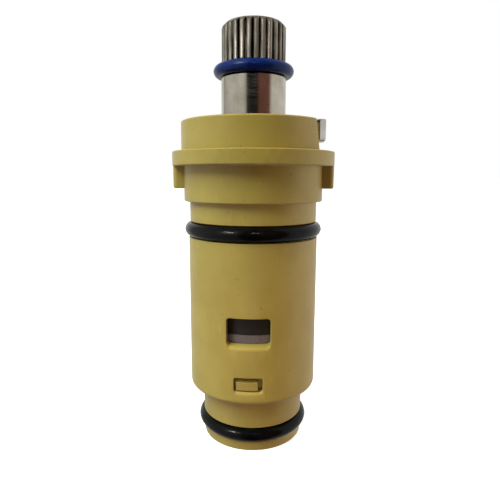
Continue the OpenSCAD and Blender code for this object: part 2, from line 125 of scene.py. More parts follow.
# Windows of the barrel, which come in pairs on opposite sides. side, bottom and top are the fillets
# round the opening, and depth is how far the bottom's fillet runs into the wall
WINDOW = {
    "half_w": 3.575, "low": 19.68, "high": 24.32, "corner": 0.6,
    "side": 0.2, "bottom": 0.8, "top": 0.08, "depth": 1.35}
SNAP = {
    "half_w": 2.375, "low": 11.8, "high": 14.3, "corner": 0.4,
    "side": 0.15, "bottom": 0.5, "top": 0.06, "depth": 0.6}
SECTOR = math.radians(26)
Z_SNAP_FLOOR = 10.6
Z_BETWEEN = 17.0
Z_WINDOW_CEILING = 26.5

# Stem
SEAL_ROOT_R = 5.61
SEAL_GROOVE_H = 2.0
INDEX_ROOT_R = 4.85
Z_STEM = 27.6
Z_FOOT = 30.6
Z_WAIST = 38.61
Z_SEAL_RINGS = (41.11, 45.51)
Z_SHOULDER = 48.51
Z_INDEX = 63.2
Z_SPLINE = 65.4
FLAT_Y = 4.6
FLAT_H = 1.39
FLAT_STEP = 0.01
BLADE_W = 3.0
BLADE_L = 12.0
BLADE_H = 2.2
REST_TURN = math.radians(11)

# Spline, with half a tooth from the middle of a groove to the tip: share of the pitch, share of the depth.
# CHAMFER_SOFTEN sets points beside the chamfer's lower edge: positive down the flank, negative up the chamfer
TEETH = 28
FIRST_GROOVE = math.radians(1.7)
TIP_R = 5.39
ROOT_R = 4.94
TOP_CHAMFER = 0.7
CHAMFER_SOFTEN = (0.12, 0.04, -0.05)
HALF_TOOTH = [(0.0, 1.0), (0.055, 0.97), (0.1, 0.85), (0.2, 0.36), (0.265, 0.15), (0.35, 0.04), (0.5, 0.0)]
TOOTH = HALF_TOOTH + [(1 - share, depth) for share, depth in reversed(HALF_TOOTH[1:-1])]

# Tapped hole for the handle's screw, with the thread's section as shares of its depth along one pitch
HOLE_R = 2.1
THREAD_R = 2.5
THREAD_PITCH = 0.8
THREAD_FILL = 0.8
THREAD_WAVE = (0.0, 0.0, 0.35, 0.75, 1.0, 1.0, 0.75, 0.35)
HOLE_DEPTH = 11.0
HOLE_COLUMNS = 48
DRILL_SLOPE = math.radians(31)

# Stop clip: a fork of sheet metal with a tab bent up in the collar's gap
CLIP_ANGLE = math.radians(-2.5)
SHEET_T = 1.3
SHEET_EDGE = 0.1
CLIP_LIFT = 0.02
CLIP_CLEARANCE = 0.05
Z_CLIP = Z_BOSS + CLIP_LIFT
FORK_R = 9.42
FORK_HALF_W = 6.8
FORK_TAIL = 6.2
FORK_SLOT_Y = FLAT_Y + CLIP_CLEARANCE
FORK_BORE_R = SHANK_R + CLIP_CLEARANCE
FORK_CORNER = 0.4
ARM_HALF_W = 2.6
ARM_END = 10.22
ARM_LAP = 0.05
TAB_HALF_W = 2.9
TAB_H = 3.55
TAB_CORNER = 0.6
TAB_BEVEL_X = 0.8
TAB_BEVEL_Y = 1.0
BEND_INSIDE = 0.3
BEND_OUTSIDE = 0.4
MITRE_LIMIT = 0.5

# Rubber rings in view, and how far the mould's flash line stands out
RINGS = {"body_ring": "body_o_ring", "nose_ring": "nose_o_ring", "blue_index_ring": "index_ring"}
FLASH = 0.025

# Fineness of the meshes, and from how many degrees on an edge stays sharp
MERGE = 0.0005
ARC_STEPS = 5
COLUMN_W = 0.28
SIDE_STEPS = 96
TAB_STEPS = 64
RING_STEPS = 128
SECTION_STEPS = 40
BODY_SHARP = 34
STEM_SHARP = 38
CLIP_SHARP = 30
RING_SHARP = 60
NORMAL_WEIGHT = 80

# Noise of the looks: size of its grains, detail, and how much shorter they are along X, Y and Z
EVEN = (1, 1, 1)
CLOUD = (6, 3, EVEN)
SCUFF = (1.4, 2, (2, 2, 0.5))
SPECK = (0.9, 2, EVEN)
GRAIN = (0.5, 5, EVEN)
DUST = (1.2, 6, EVEN)
RUBBER_GRAIN = (0.4, 4, EVEN)
STAIN = (2.5, 5, EVEN)
PATCH = (0.6, 3, (1, 1, 0.12))
LINES_MM = 0.5
LINES_DETAIL = 6

# Stretch of a noise's values over which a look changes from its first state to its last
WIDE_REACH = (0.3, 0.7)
SCUFF_REACH = (0.64, 0.78)
SPECK_REACH = (0.7, 0.77)
DUST_REACH = (0.4, 0.75)
DULL_REACH = (0.3, 0.8)
STAIN_REACH = (0.35, 0.65)
PATCH_REACH = (0.36, 0.64)

# Strength of the looks. The tones are factors on the plastic's own colour
SCUFF_STRENGTH = 0.1
SCUFF_TONE = 2.2
SPECK_STRENGTH = 0.32
SPECK_TONE = 0.1
SHEEN_WEIGHT = 0.2
SHEEN_ROUGHNESS = 0.3
BUMP_STRENGTH = 0.5
PLASTIC_DEPTH = 0.01
RUBBER_DEPTH = 0.012
POLISHED = -0.05
PLASTIC_DULLED = 0.06
RUBBER_DULLED = 0.1
METAL_DULLED = 0.07

# Darkening on metal, painted shade in the spline's grooves together with residue: how patchy it lies,
# how rough it is, how much faster it dulls than it darkens, and how much of it lies on the spline's tips
# and on the chamfer
PATCH_AMOUNTS = (0.6, 1.45)
RESIDUE_ROUGHNESS = 0.8
HAZE = 2.4
TIP_DARKENING = 0.25
CHAMFER_DARKENING = 0.35

# Floor
FLOOR_HALF = 9.0
FLOOR_TONE = 0.8
FLOOR_ROUGHNESS = 0.9
FLOOR_GLOW = 0.75

# Lights look at this level unless they say otherwise
LIGHT_TARGET_Z = 40
WHITE_LIGHT = (1.0, 1.0, 1.0)


def make_camera():
    """Camera at the photograph's place: the stem's axis lies a little right of the middle."""
    yaw = CAMERA_AZIMUTH + math.atan(AXIS_OFFSET_PX / CAMERA_FOCAL_PX)
    level = math.cos(CAMERA_PITCH)
    forward = Vector((-math.sin(yaw) * level, math.cos(yaw) * level, -math.sin(CAMERA_PITCH)))
    right = forward.cross(Vector((0, 0, 1))).normalized()
    up = right.cross(forward)
    tilted_up = up * math.cos(CAMERA_ROLL) - right * math.sin(CAMERA_ROLL)
    tilted_right = forward.cross(tilted_up)
    place = Vector((math.sin(CAMERA_AZIMUTH), -math.cos(CAMERA_AZIMUTH), 0)) * CAMERA_DISTANCE
    place.z = CAMERA_HEIGHT
    data = bpy.data.cameras.new("camera")
    data.sensor_width = CAMERA_SENSOR
    data.lens = CAMERA_SENSOR * CAMERA_FOCAL_PX / IMAGE_PX
    data.clip_start = CAMERA_NEAR * MM
    data.clip_end = CAMERA_FAR * MM
    camera = bpy.data.objects.new("camera", data)
    axes = Matrix((tilted_right, tilted_up, -forward)).transposed().to_4x4()
    camera.matrix_world = Matrix.Translation(place * MM) @ axes
    bpy.context.scene.collection.objects.link(camera)
    bpy.context.scene.camera = camera


make_camera()


class Nodes:
    """Short ways to add and join the nodes of one material or world."""

    def __init__(self, tree):
        self.tree = tree
        tree.nodes.clear()

    def add(self, kind, **inputs):
        node = self.tree.nodes.new(kind)
        for name, value in inputs.items():
            self.set(node, name, value)
        return node

    def set(self, node, socket, value):
        target = node.inputs[socket]
        if isinstance(value, bpy.types.NodeSocket):
            self.tree.links.new(value, target)
        else:
            target.default_value = value

    def math(self, operation, first, second):
        node = self.tree.nodes.new("ShaderNodeMath")
        node.operation = operation
        self.set(node, 0, first)
        self.set(node, 1, second)
        return node.outputs[0]

    def ramp(self, factor, stops):
        """Colour of a factor, from stops of (place, colour)."""
        node = self.tree.nodes.new("ShaderNodeValToRGB")
        self.set(node, "Fac", factor)
        elements = node.color_ramp.elements
        while len(elements) < len(stops):
            elements.new(0.5)
        for element, (place, colour) in zip(elements, stops):
            element.position = place
            element.color = colour
        return node.outputs["Color"]

    def fade(self, factor, reach, colours):
        """Colour that goes from the first to the second while the factor goes through its reach."""
        return self.ramp(factor, list(zip(reach, colours)))

    def mix(self, factor, first, second):
        node = self.tree.nodes.new("ShaderNodeMix")
        node.data_type = "RGBA"
        self.set(node, 0, factor)
        self.set(node, 6, first)
        self.set(node, 7, second)
        return node.outputs[2]


def grey(value):
    return (value, value, value, 1)


def srgb(red, green, blue):
    """Linear colour of an 8-bit screen colour."""
    def linear(value):
        value /= 255
        return value / 12.92 if value <= 0.04045 else ((value + 0.055) / 1.055) ** 2.4
    return (linear(red), linear(green), linear(blue), 1)


def shade(colour, factor):
    """A colour made darker or lighter."""
    return tuple(min(1.0, factor * part) for part in colour[:3]) + (1,)


def new_material(name):
    material = bpy.data.materials.new(name)
    material.use_nodes = True
    nodes = Nodes(material.node_tree)
    shader = nodes.add("ShaderNodeBsdfPrincipled")
    output = nodes.add("ShaderNodeOutputMaterial")
    nodes.set(output, "Surface", shader.outputs["BSDF"])
    return material, nodes, shader


def noise(nodes, size, detail, squeeze):
    """Noise on the piece's own coordinates."""
    place = nodes.add("ShaderNodeTexCoord").outputs["Object"]
    mapping = nodes.add("ShaderNodeMapping", Vector=place, Scale=squeeze)
    squeezed = mapping.outputs["Vector"]
    texture = nodes.add("ShaderNodeTexNoise", Vector=squeezed, Scale=1 / (size * MM), Detail=detail)
    return texture.outputs["Fac"]


def set_roughness(nodes, shader, factor, reach, roughness, dulled):
    """Roughness that wanders round a value, from a little more polished to dulled."""
    ends = (grey(roughness + POLISHED), grey(roughness + dulled))
    nodes.set(shader, "Roughness", nodes.fade(factor, reach, ends))


def add_bump(nodes, shader, height, depth):
    bump = nodes.add("ShaderNodeBump", Height=height, Distance=depth * MM, Strength=BUMP_STRENGTH)
    nodes.set(shader, "Normal", bump.outputs["Normal"])


def plastic(name, dark, light, roughness, wear=1.0):
    """Moulded or fired surface: cloudy tone, faint scuffs and specks, fine grain and a soft sheen."""
    material, nodes, shader = new_material(name)
    tone = nodes.fade(noise(nodes, *CLOUD), WIDE_REACH, (dark, light))
    scuff = nodes.fade(noise(nodes, *SCUFF), SCUFF_REACH, (grey(0), grey(SCUFF_STRENGTH * wear)))
    speck = nodes.fade(noise(nodes, *SPECK), SPECK_REACH, (grey(0), grey(SPECK_STRENGTH * wear)))
    scuffed = nodes.mix(scuff, tone, shade(light, SCUFF_TONE))
    nodes.set(shader, "Base Color", nodes.mix(speck, scuffed, shade(dark, SPECK_TONE)))
    nodes.set(shader, "Sheen Weight", SHEEN_WEIGHT)
    nodes.set(shader, "Sheen Roughness", SHEEN_ROUGHNESS)
    grain = noise(nodes, *GRAIN)
    set_roughness(nodes, shader, grain, WIDE_REACH, roughness, PLASTIC_DULLED)
    add_bump(nodes, shader, grain, PLASTIC_DEPTH)
    return material


def rubber(name, dark, light, roughness, specular):
    """Smooth moulded rubber with a little dust."""
    material, nodes, shader = new_material(name)
    dust = noise(nodes, *DUST)
    nodes.set(shader, "Base Color", nodes.fade(dust, DUST_REACH, (dark, light)))
    nodes.set(shader, "Specular IOR Level", specular)
    set_roughness(nodes, shader, dust, DULL_REACH, roughness, RUBBER_DULLED)
    add_bump(nodes, shader, noise(nodes, *RUBBER_GRAIN), RUBBER_DEPTH)
    return material


def metal(name, dark, light, roughness, squeeze, line_depth):
    """Plated or bright metal with lathe or rolling lines, dull and dark in grooves: painted groove shade
    together with residue.
    """
    material, nodes, shader = new_material(name)
    nodes.set(shader, "Metallic", 1.0)
    lines = noise(nodes, LINES_MM, LINES_DETAIL, squeeze)
    clean = nodes.fade(noise(nodes, *STAIN), STAIN_REACH, (dark, light))
    shade_and_residue = nodes.add("ShaderNodeAttribute")
    shade_and_residue.attribute_name = "shade_and_residue"
    patchy = nodes.fade(noise(nodes, *PATCH), PATCH_REACH, [grey(amount) for amount in PATCH_AMOUNTS])
    shade_and_dirt = nodes.math("MINIMUM", nodes.math("MULTIPLY", shade_and_residue.outputs["Fac"], patchy), 1.0)
    # Dark base colour where the attribute is high: painted shade in the grooves, together with residue
    nodes.set(shader, "Base Color", nodes.mix(shade_and_dirt, clean, srgb(22, 18, 14)))
    polish = nodes.fade(lines, WIDE_REACH, (grey(roughness + POLISHED), grey(roughness + METAL_DULLED)))
    haze = nodes.math("MINIMUM", nodes.math("MULTIPLY", shade_and_dirt, HAZE), 1.0)
    nodes.set(shader, "Roughness", nodes.mix(haze, polish, grey(RESIDUE_ROUGHNESS)))
    add_bump(nodes, shader, lines, line_depth)
    return material


MATERIALS = {
    "cream_plastic": plastic("cream_plastic", srgb(157, 134, 62), srgb(168, 144, 71), 0.4),
    # The nose's plastic is a slightly darker, browner copy of the body's: painted shade under the barrel's
    # lip
    "tan_plastic": plastic("tan_plastic", srgb(154, 131, 64), srgb(165, 141, 73), 0.4),
    "black_rubber": rubber("black_rubber", srgb(6, 6, 6), srgb(12, 12, 12), 0.18, 0.16),
    "blue_rubber": rubber("blue_rubber", srgb(3, 30, 90), srgb(7, 37, 102), 0.28, 0.2),
    "plated_brass": metal(
        "plated_brass", srgb(178, 171, 153), srgb(196, 190, 173), 0.16,
        squeeze=(0.3, 0.3, 6), line_depth=0.006),
    "spring_steel": metal(
        "spring_steel", srgb(190, 188, 179), srgb(207, 205, 196), 0.28,
        squeeze=(1, 1, 4), line_depth=0.0015),
    # The ceramic is white; its dim mauve grey here is painted shade of the disc's rim inside the window
    "white_ceramic": plastic("white_ceramic", srgb(100, 90, 92), srgb(112, 101, 102), 0.3, wear=0.0),
    "black_plastic": plastic("black_plastic", srgb(34, 31, 28), srgb(42, 39, 35), 0.5),
    "white_plastic": plastic("white_plastic", srgb(228, 222, 208), srgb(236, 231, 218), 0.45),
}
NODE_SLOT = {part["node"]: part["material_slot"] for part in frame["record"]["subparts"]}
NODE_BODY = {node: body for body, nodes in frame["record"]["behaviour"]["bodies"].items() for node in nodes}


def paint(piece, slot):
    piece.data.materials.clear()
    piece.data.materials.append(MATERIALS[slot])


for cad_node, cad_slot in NODE_SLOT.items():
    paint(frame["nodes"][cad_node], cad_slot)


class Shape:
    """Points and faces of one piece, gathered before they become a mesh."""

    def __init__(self):
        self.points = []
        self.faces = []
        # Darkening per point for the metal's look: painted groove shade together with residue
        self.shade_and_residue = {}

    def add(self, points):
        """Numbers of the added points."""
        start = len(self.points)
        self.points.extend(points)
        return list(range(start, len(self.points)))

    def bridge(self, first, second, closed=True):
        """Quads between two rows of points."""
        count = len(first)
        for i in range(count if closed else count - 1):
            j = (i + 1) % count
            self.faces.append((first[i], first[j], second[j], second[i]))

    def bridge_all(self, rows, closed=True):
        """Quads from each row to the next."""
        for first, second in zip(rows, rows[1:]):
            self.bridge(first, second, closed)

    def sweep(self, outlines):
        """Solid through like-numbered outlines, capped at both ends."""
        rows = [self.add(outline) for outline in outlines]
        self.bridge_all(rows)
        self.faces.append(tuple(reversed(rows[0])))
        self.faces.append(tuple(rows[-1]))


def make_piece(name, shape, node, sharp_degrees):
    """Turns a shape into a smooth-shaded piece that stands for a CAD node."""
    mesh = bpy.data.meshes.new(name)
    points = [tuple(coordinate * MM for coordinate in point) for point in shape.points]
    mesh.from_pydata(points, [], shape.faces)
    # Per-point darkening for the metal's look: painted groove shade together with residue
    if shape.shade_and_residue:
        layer = mesh.attributes.new("shade_and_residue", "FLOAT", "POINT")
        for number, amount in shape.shade_and_residue.items():
            layer.data[number].value = amount
    work = bmesh.new()
    work.from_mesh(mesh)
    bmesh.ops.remove_doubles(work, verts=work.verts, dist=MERGE * MM)
    bmesh.ops.recalc_face_normals(work, faces=work.faces)
    work.to_mesh(mesh)
    work.free()
    mesh.validate()
    mesh.shade_smooth()
    mesh.set_sharp_from_angle(angle=math.radians(sharp_degrees))
    piece = bpy.data.objects.new(name, mesh)
    bpy.context.scene.collection.objects.link(piece)
    even = piece.modifiers.new("even_shading", "WEIGHTED_NORMAL")
    even.keep_sharp = True
    even.weight = NORMAL_WEIGHT
    paint(piece, NODE_SLOT[node])
    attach(piece, NODE_BODY[node])
    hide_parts(node)


def on_circle(radius, angle, z):
    """Point at an angle from -Y."""
    return Vector((radius * math.sin(angle), -radius * math.cos(angle), z))


def quarter_turn():
    """Angles of a rounding, from 0 to a right angle."""
    return [math.pi / 2 * step / ARC_STEPS for step in range(ARC_STEPS + 1)]


def rounded(corners):
    """Closed outline through (x, y, radius) corners, each rounded by an arc."""
    points = []
    count = len(corners)
    for index, (x, y, radius) in enumerate(corners):
        here = Vector((x, y))
        if radius <= 0:
            points.append(here)
            continue
        back = (Vector(corners[index - 1][:2]) - here).normalized()
        ahead = (Vector(corners[(index + 1) % count][:2]) - here).normalized()
        half = back.angle(ahead) / 2
        centre = here + (back + ahead).normalized() * radius / math.sin(half)
        first = here + back * radius / math.tan(half) - centre
        last = here + ahead * radius / math.tan(half) - centre
        start = math.atan2(first.y, first.x)
        sweep = (math.atan2(last.y, last.x) - start + math.pi) % (2 * math.pi) - math.pi
        for step in range(ARC_STEPS + 1):
            angle = start + sweep * step / ARC_STEPS
            points.append(centre + radius * Vector((math.cos(angle), math.sin(angle))))
    return points


def add_between(columns, outer, inner, count):
    """Plain columns from the last column to one at (outer, inner), which comes last."""
    from_outer, from_inner = columns[-1][:2]
    for step in range(1, count + 1):
        share = step / count
        x_outer = from_outer + (outer - from_outer) * share
        x_inner = from_inner + (inner - from_inner) * share
        columns.append((x_outer, x_inner, None, 0.0))


def half_columns():
    """Columns of a window sector from its middle to its right side.

    Each is its x on the outside and the inside of the wall, the window whose corner it crosses and the
    angle there.
    """
    columns = [(0.0, 0.0, None, 0.0)]
    for window in (SNAP, WINDOW):
        inner_r = window["corner"]
        outer_r = inner_r + window["side"]
        flat = window["half_w"] - inner_r
        add_between(columns, flat, flat, max(1, round((flat - columns[-1][0]) / COLUMN_W)))
        columns.pop()
        for angle in quarter_turn():
            x_outer = flat + outer_r * math.sin(angle)
            x_inner = flat + inner_r * math.sin(angle)
            columns.append((x_outer, x_inner, window, angle))
    edge_out = BARREL_R * math.sin(SECTOR)
    edge_in = CHAMBER_R * math.sin(SECTOR)
    add_between(columns, edge_out, edge_in, round((edge_out - columns[-1][0]) / COLUMN_W))
    return columns


def sector_columns():
    """Columns of a whole window sector, from left to right."""
    right = half_columns()
    left = [(-outer, -inner, window, angle) for outer, inner, window, angle in reversed(right[1:])]
    return left + right


SECTOR_COLUMNS = sector_columns()


def all_angles(which, radius):
    """Angles of every column round the body: two window sectors and the plain stretches between."""
    sector = [math.asin(column[which] / radius) for column in SECTOR_COLUMNS]
    plain = [SECTOR + (math.pi - 2 * SECTOR) * step / SIDE_STEPS for step in range(1, SIDE_STEPS)]
    half = sector + plain
    return half + [angle + math.pi for angle in half]


OUTER_ANGLES = all_angles(0, BARREL_R)
INNER_ANGLES = all_angles(1, CHAMBER_R)


def window_edges(window):
    """Lower and upper edge of a window at each sector column, or None beside the window.

    An edge is its places outside and inside the fillet, and the fillet's depth.
    """
    reach = window["half_w"] + window["side"]
    corner = window["corner"]
    lower = (window["low"], 1, window["bottom"], window["depth"])
    upper = (window["high"], -1, window["top"], window["top"])
    columns = []
    for outer, inner, owner, angle in SECTOR_COLUMNS:
        if abs(outer) > reach + TINY:
            columns.append(None)
            continue
        level = math.cos(angle if owner is window else 0.0)
        edges = []
        for base, way, drop, depth in (lower, upper):
            centre = base + way * corner
            fillet = depth * level ** 2 + window["side"] * (1 - level ** 2)
            outside = (outer, centre - way * (corner + drop) * level)
            inside = (inner, centre - way * corner * level)
            edges.append((outside, inside, fillet))
        columns.append(edges)
    return columns


def add_window(shape, window, side):
    """Filleted window through the wall. Gives its edge points on the outside and the inside of the wall."""
    columns = window_edges(window)
    open_columns = [edges for edges in columns if edges]
    loop = [edges[0] for edges in open_columns] + [edges[1] for edges in reversed(open_columns)]

    def placed(x, z, radius):
        return Vector((side * x, -side * math.sqrt(radius ** 2 - x ** 2), z))

    rows = []
    for angle in quarter_turn():
        share = 1 - math.sin(angle)
        row = []
        for outside, inside, fillet in loop:
            x = outside[0] * share + inside[0] * (1 - share)
            z = outside[1] * share + inside[1] * (1 - share)
            row.append(placed(x, z, BARREL_R - fillet * (1 - math.cos(angle))))
        rows.append(shape.add(row))
    rows.append(shape.add([placed(*inside, CHAMBER_R) for outside, inside, fillet in loop]))
    shape.bridge_all(rows)

    def by_column(row):
        count = len(open_columns)
        lower = iter(row[:count])
        upper = iter(reversed(row[count:]))
        return [(next(lower), next(upper)) if edges else None for edges in columns]

    return by_column(rows[0]), by_column(rows[-1])


def fill_round(shape, lower, upper, hole):
    """Wall between two rows of a sector, round the hole of a window."""
    for i in range(len(lower) - 1):
        left = hole[i]
        right = hole[i + 1]
        if left and right:
            shape.faces.append((lower[i], lower[i + 1], right[0], left[0]))
            shape.faces.append((left[1], right[1], upper[i + 1], upper[i]))
            continue
        face = [lower[i], lower[i + 1]]
        if right:
            face += [right[0], right[1]]
        face += [upper[i + 1], upper[i]]
        if left:
            face += [left[1], left[0]]
        shape.faces.append(tuple(face))


def body_profile(z_barrel, flange_r):
    """Outline of the body's turned form, with the levels that part the windows put in as plain points."""
    sill_out = COLLAR_R - SILL_INSET
    sill_in = COLLAR_IN + SILL_INSET
    return rounded([
        (BARREL_R, z_barrel, BARREL_ROUND),
        (BARREL_R, Z_BETWEEN, 0),
        (BARREL_R, Z_WINDOW_CEILING, 0),
        (BARREL_R, Z_RING, FINE_EDGE),
        (RING_ROOT_R, Z_RING, MOULD_EDGE),
        (RING_ROOT_R, Z_NECK, MOULD_EDGE),
        (NECK_R, Z_NECK, FINE_EDGE),
        (NECK_R, Z_LAND, MOULD_EDGE),
        (LAND_R, Z_LAND, MOULD_EDGE),
        (LAND_R, Z_FLANGE, MOULD_EDGE),
        (flange_r, Z_FLANGE, MOULD_EDGE),
        (flange_r, Z_DECK, MOULD_EDGE),
        (sill_out, Z_DECK, 0),
        (sill_out, Z_DECK + SILL_H, SILL_EDGE),
        (sill_in, Z_DECK + SILL_H, SILL_EDGE),
        (sill_in, Z_DECK, 0),
        (BOSS_R, Z_DECK, MOULD_EDGE),
        (BOSS_R, Z_BOSS, MOULD_EDGE),
        (SHANK_BORE_R, Z_BOSS, MOULD_EDGE),
        (SHANK_BORE_R, Z_WEB, FINE_EDGE),
        (SEAL_BORE_R, Z_WEB, FINE_EDGE),
        (SEAL_BORE_R, Z_CEILING, WIDE_EDGE),
        (CHAMBER_R, Z_CEILING, WIDE_EDGE),
        (CHAMBER_R, Z_WINDOW_CEILING, 0),
        (CHAMBER_R, Z_BETWEEN, 0),
        (CHAMBER_R, Z_SNAP_FLOOR, 0),
        (CHAMBER_R, z_barrel, MOULD_EDGE)])


def add_turned_body(shape, z_barrel, flange_r):
    """Turned form of the body with its two pairs of filleted windows."""
    profile = body_profile(z_barrel, flange_r)
    turn_point = max(range(len(profile)), key=lambda i: profile[i].y)
    rows = []
    for index, point in enumerate(profile):
        angles = OUTER_ANGLES if index <= turn_point else INNER_ANGLES
        rows.append(shape.add([on_circle(point.x, angle, point.y) for angle in angles]))

    def row_at(radius, z):
        return min(range(len(profile)), key=lambda i: (profile[i] - Vector((radius, z))).length)

    outer = [row_at(BARREL_R, z) for z in (z_barrel + BARREL_ROUND, Z_BETWEEN, Z_WINDOW_CEILING)]
    inner = [row_at(CHAMBER_R, z) for z in (Z_SNAP_FLOOR, Z_BETWEEN, Z_WINDOW_CEILING)]
    holed = {tuple(sorted(pair)) for pair in (outer[:2], outer[1:], inner[:2], inner[1:])}
    width = len(SECTOR_COLUMNS)
    count = len(OUTER_ANGLES)
    half = count // 2
    for first in range(len(rows)):
        second = (first + 1) % len(rows)
        is_holed = tuple(sorted((first, second))) in holed
        for i in range(count):
            if is_holed and i % half < width - 1:
                continue
            j = (i + 1) % count
            shape.faces.append((rows[first][i], rows[first][j], rows[second][j], rows[second][i]))
    for turn, side in ((0, 1), (half, -1)):
        columns = slice(turn, turn + width)
        snaps = add_window(shape, SNAP, side)
        windows = add_window(shape, WINDOW, side)
        for levels, snap, window in zip((outer, inner), snaps, windows):
            low, middle, high = (rows[level][columns] for level in levels)
            fill_round(shape, low, middle, snap)
            fill_round(shape, middle, high, window)


def end_steps(length, radius):
    """Stations at the two rounded ends of a bar of that length, as (place, inset)."""
    start = [(radius * (1 - math.cos(angle)), radius * (1 - math.sin(angle))) for angle in quarter_turn()]
    return start, [(length - place, inset) for place, inset in reversed(start)]


def add_collar(shape, z_top):
    """Collar with its gap, whose two ends lean outwards."""
    middle_r = (COLLAR_R + COLLAR_IN) / 2
    span = 2 * math.pi + GAP_FROM - GAP_TO
    length = span * middle_r
    start, finish = end_steps(length, END_ROUND)
    steps = 2 * SIDE_STEPS
    straight = length - 2 * END_ROUND
    middle = [(END_ROUND + straight * step / steps, 0.0) for step in range(1, steps)]
    outlines = []
    for place, inset in start + middle + finish:
        edge = WIDE_EDGE - inset / 2
        profile = rounded([
            (COLLAR_IN + inset, Z_DECK - SINK, 0),
            (COLLAR_R - inset, Z_DECK - SINK, 0),
            (COLLAR_R - inset, z_top - inset, edge),
            (COLLAR_IN + inset, z_top - inset, edge)])
        outline = []
        for radius, z in profile:
            lean = math.asin((z - Z_BOSS) * math.tan(GAP_SLOPE) / radius)
            angle = GAP_TO + lean + (span - 2 * lean) * place / length
            outline.append(Vector((radius * math.cos(angle), radius * math.sin(angle), z)))
        outlines.append(outline)
    shape.sweep(outlines)


def add_lug(shape, side):
    """Anti-turn lug under the flange, with rounder upright corners than its lower edge."""
    start, finish = end_steps(LUG_W, LUG_ROUND)
    outlines = []
    for place, inset in start + finish:
        z_low = Z_FLANGE - LUG_H + inset * END_ROUND / LUG_ROUND
        profile = rounded([
            (LAND_R - SINK, z_low, 0),
            (LUG_R - inset, z_low, WIDE_EDGE),
            (LUG_R - inset, Z_FLANGE + SINK, 0),
            (LAND_R - SINK, Z_FLANGE + SINK, 0)])
        y = place - LUG_W / 2
        outline = [Vector((side * math.sqrt(radius ** 2 - y ** 2), side * y, z)) for radius, z in profile]
        outlines.append(outline)
    shape.sweep(outlines)


def make_body():
    low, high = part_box("cartridge_body")
    shape = Shape()
    add_turned_body(shape, low[2] / MM, high[0] / MM)
    add_collar(shape, high[2] / MM)
    for side in (1, -1):
        add_lug(shape, side)
    make_piece("moulded_body", shape, "cartridge_body", BODY_SHARP)


def stem_columns():
    """Angle and groove depth share of every column round the stem."""
    pitch = 2 * math.pi / TEETH
    columns = []
    for tooth in range(TEETH):
        columns += [(FIRST_GROOVE + pitch * (tooth + share), depth) for share, depth in TOOTH]
    return columns


def seal_groove(z):
    """Corners of the groove of one stem ring."""
    half = SEAL_GROOVE_H / 2
    return [
        (SEAL_R, z - half, FINE_EDGE),
        (SEAL_ROOT_R, z - half, FINE_EDGE),
        (SEAL_ROOT_R, z + half, FINE_EDGE),
        (SEAL_R, z + half, FINE_EDGE)]


def flat_limit(radius, angle, z):
    """Radius that the two flats for the stop clip leave of the shank.

    The profile's points are 32-bit, so the one at the upper level falls just above the limit, and the
    flats run out towards it.
    """
    if radius > SHANK_R or not Z_BOSS <= z <= Z_BOSS + FLAT_H:
        return radius
    return min(radius, FLAT_Y / max(TINY, abs(math.cos(angle - CLIP_ANGLE))))


def add_turned_stem(shape, columns):
    """Stem below the spline: seal section, shank with flats and index groove. Gives its top row."""
    slope = SEAL_R - WAIST_R
    profile = rounded([
        (0, Z_STEM, 0),
        (SEAL_R, Z_STEM, WIDE_EDGE),
        (SEAL_R, Z_FOOT, WIDE_EDGE),
        (WAIST_R, Z_FOOT + slope, WIDE_EDGE),
        (WAIST_R, Z_WAIST - slope, WIDE_EDGE),
        (SEAL_R, Z_WAIST, WIDE_EDGE),
        *seal_groove(Z_SEAL_RINGS[0]),
        *seal_groove(Z_SEAL_RINGS[1]),
        (SEAL_R, Z_SHOULDER, WIDE_EDGE),
        (SHANK_R, Z_SHOULDER, 0),
        (SHANK_R, Z_BOSS - FLAT_STEP, 0),
        (SHANK_R, Z_BOSS, 0),
        (SHANK_R, Z_BOSS + FLAT_H, 0),
        (SHANK_R, Z_BOSS + FLAT_H + FLAT_STEP, 0),
        (SHANK_R, Z_INDEX, FINE_EDGE),
        (INDEX_ROOT_R, Z_INDEX, FINE_EDGE),
        (INDEX_ROOT_R, Z_SPLINE, 0)])[1:]
    rows = []
    for radius, z in profile:
        row = [on_circle(flat_limit(radius, angle, z), angle, z) for angle, share in columns]
        rows.append(shape.add(row))
    shape.bridge_all(rows)
    shape.faces.append(tuple(rows[0]))
    return rows[-1]


def add_spline(shape, columns, below, z_top):
    """Toothed part, whose grooves run out in the chamfer at the top. Gives the top edge's row."""
    depth = TIP_R - ROOT_R
    edge = FINE_EDGE
    z_chamfer = z_top - TOP_CHAMFER
    rim_r = TIP_R - TOP_CHAMFER
    rows = [below]
    for rise, inset in ((0, edge), (edge / 3, edge / 3), (edge, 0)):
        row = []
        for angle, share in columns:
            radius = min(TIP_R - inset, TIP_R - depth * share)
            row.append(on_circle(radius, angle, Z_SPLINE + rise))
        rows.append(shape.add(row))
    for soften in CHAMFER_SOFTEN:
        drop = max(0.0, soften)
        fall = max(0.0, -soften)
        row = []
        for angle, share in columns:
            radius = TIP_R - depth * share
            row.append(on_circle(radius - fall, angle, z_chamfer + depth * share - drop + fall))
        rows.append(shape.add(row))
    for radius, z in ((rim_r + edge / 2, z_top - edge / 2), (rim_r - edge / 2, z_top)):
        rows.append(shape.add([on_circle(radius, angle, z) for angle, share in columns]))
    # Darkening per point: full at the groove roots, painted groove shade together with residue, and less on
    # the tips and the chamfer
    for row in rows[2:-3]:
        for number, (angle, share) in zip(row, columns):
            shape.shade_and_residue[number] = TIP_DARKENING + (1 - TIP_DARKENING) * share
    for row in rows[-3:]:
        for number in row:
            shape.shade_and_residue[number] = CHAMFER_DARKENING
    shape.bridge_all(rows)
    return rows[-1]


